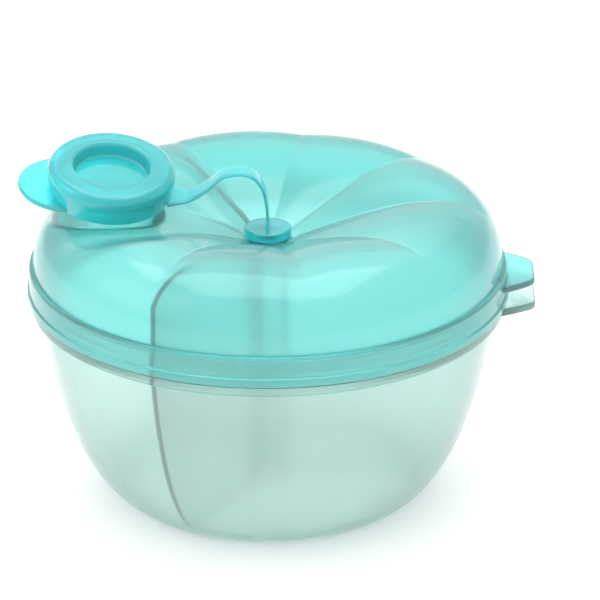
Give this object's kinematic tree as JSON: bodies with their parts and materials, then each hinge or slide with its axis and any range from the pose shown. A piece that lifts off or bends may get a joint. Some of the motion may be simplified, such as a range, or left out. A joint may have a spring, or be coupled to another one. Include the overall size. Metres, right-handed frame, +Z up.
{
  "type": "formula dispenser",
  "caption": "Bowl-shaped milk powder dispenser: clear divided bowl, turning petal lid with a pouring spout, and a snap cap tethered to a button on the lid.",
  "frame": {"origin": "on the bowl's axis, in the plane of its flat base", "axes": "+Z up along the bowl's axis; +X towards the two pull tabs; the pouring spout stands towards -X"},
  "size_m": [0.1299, 0.1212, 0.0906],
  "materials": {
    "bowl_plastic": "frosted clear polypropylene",
    "divider_plastic": "frosted clear polypropylene",
    "lid_plastic": "glossy translucent turquoise polypropylene",
    "cap_plastic": "glossy translucent turquoise soft polyethylene"
  },
  "bodies": {
    "bowl": {"bowl_shell": "bowl_plastic"},
    "divider": {"divider_insert": "divider_plastic"},
    "lid": {"lid_shell": "lid_plastic", "anchor_button": "cap_plastic"},
    "cap": {"spout_cap": "cap_plastic", "cap_strap": "cap_plastic"}
  },
  "joints": [
    {"name": "divider_lift", "type": "slide", "parent": "bowl", "child": "divider", "axis": [0, 0, 1], "range_m": [0, 0.065]},
    {"name": "lid_turn", "type": "hinge", "parent": "divider", "child": "lid", "pos_m": [0, 0, 0.0608], "axis": [0, 0, 1], "continuous": true},
    {"name": "cap_swing", "type": "hinge", "parent": "lid", "child": "cap", "pos_m": [0, -0.00062, 0.07909], "axis": [0.0181, 0.9781, 0.2071], "range_deg": [0, 120]}
  ]
}
